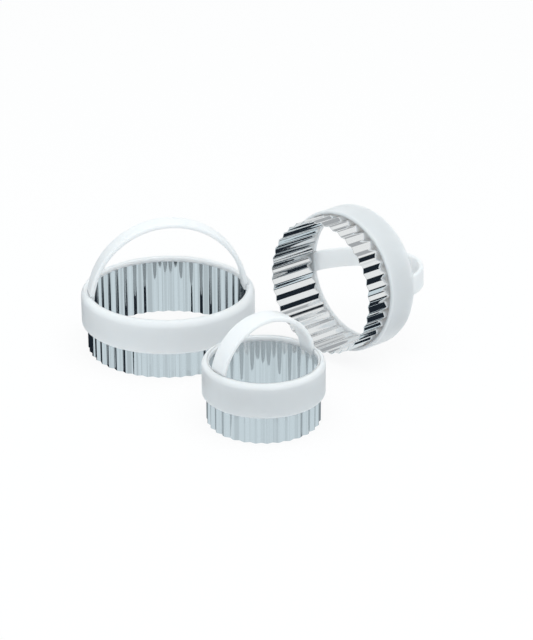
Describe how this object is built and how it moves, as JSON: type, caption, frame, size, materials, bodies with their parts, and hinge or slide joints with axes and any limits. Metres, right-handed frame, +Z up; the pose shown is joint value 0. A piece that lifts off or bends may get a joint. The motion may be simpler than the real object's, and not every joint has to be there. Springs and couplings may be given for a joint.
{
  "type": "fluted biscuit cutter set",
  "caption": "Graded set of fluted round biscuit cutters: crinkled steel bands in white plastic collars with arched strap handles.",
  "frame": {"origin": "centre of the set's outline box on the surface that it stands on", "axes": "+Z up along the standing cutters' axes, +X to the right along the set's longest extent, +Y away from the viewer of the picture"},
  "size_m": [0.1581, 0.1445, 0.067],
  "materials": {
    "band_steel": "bright polished steel sheet",
    "white_plastic": "semi-gloss moulded plastic"
  },
  "bodies": {
    "large_cutter": {"large_band": "band_steel", "large_collar": "white_plastic", "large_handle": "white_plastic"},
    "medium_cutter": {"medium_band": "band_steel", "medium_collar": "white_plastic", "medium_handle": "white_plastic"},
    "small_cutter": {"small_band": "band_steel", "small_collar": "white_plastic", "small_handle": "white_plastic"}
  },
  "joints": [
    {"name": "medium_lift", "type": "slide", "parent": "large_cutter", "child": "medium_cutter", "axis": [0, 0, 1], "range_m": [0, 0.12]},
    {"name": "small_lift", "type": "slide", "parent": "large_cutter", "child": "small_cutter", "axis": [0, 0, 1], "range_m": [0, 0.12]}
  ]
}
